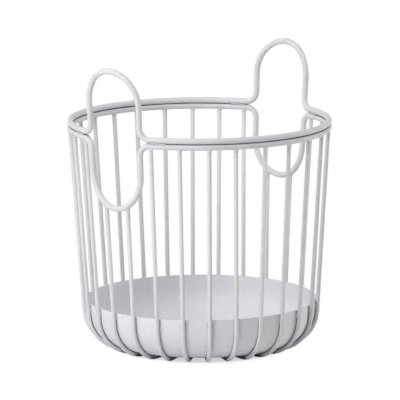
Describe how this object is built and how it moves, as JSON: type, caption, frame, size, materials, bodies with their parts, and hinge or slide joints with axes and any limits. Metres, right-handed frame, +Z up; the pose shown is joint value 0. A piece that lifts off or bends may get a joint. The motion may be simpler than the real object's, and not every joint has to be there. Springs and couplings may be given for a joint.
{
  "type": "wire basket",
  "caption": "Round open basket of coated steel wire with two tall loop handles and a shallow sheet tray in its foot.",
  "frame": {"origin": "on the floor under the basket's centre, which is the middle of the bottom of its box", "axes": "+Z up; the two handles stand on the -X and +X sides, and Y runs along the rim between them"},
  "size_m": [0.3106, 0.3, 0.3367],
  "materials": {
    "wire_coat": "matt powder coat with a very fine grain on steel wire",
    "tray_coat": "matt powder coat with a fine sandy grain on sheet steel",
    "weld_coat": "matt powder coat, thicker and softer over the weld beads"
  },
  "bodies": {
    "root": {"upper_rim_wire": "wire_coat", "lower_rim_wire": "wire_coat", "rib_01": "wire_coat", "rib_02": "wire_coat", "rib_03": "wire_coat", "rib_04": "wire_coat", "rib_05": "wire_coat", "rib_06": "wire_coat", "rib_07": "wire_coat", "rib_08": "wire_coat", "rib_09": "wire_coat", "rib_10": "wire_coat", "rib_11": "wire_coat", "rib_12": "wire_coat", "rib_13": "wire_coat", "rib_14": "wire_coat", "rib_15": "wire_coat", "rib_16": "wire_coat", "rib_17": "wire_coat", "rib_18": "wire_coat", "rib_19": "wire_coat", "rib_20": "wire_coat", "rib_21": "wire_coat", "rib_22": "wire_coat", "rib_23": "wire_coat", "rib_24": "wire_coat", "rib_25": "wire_coat", "rib_26": "wire_coat", "rib_27": "wire_coat", "rib_28": "wire_coat", "tray": "tray_coat", "rim_welds": "weld_coat", "rib_welds": "weld_coat", "tray_welds": "weld_coat"}
  },
  "joints": []
}
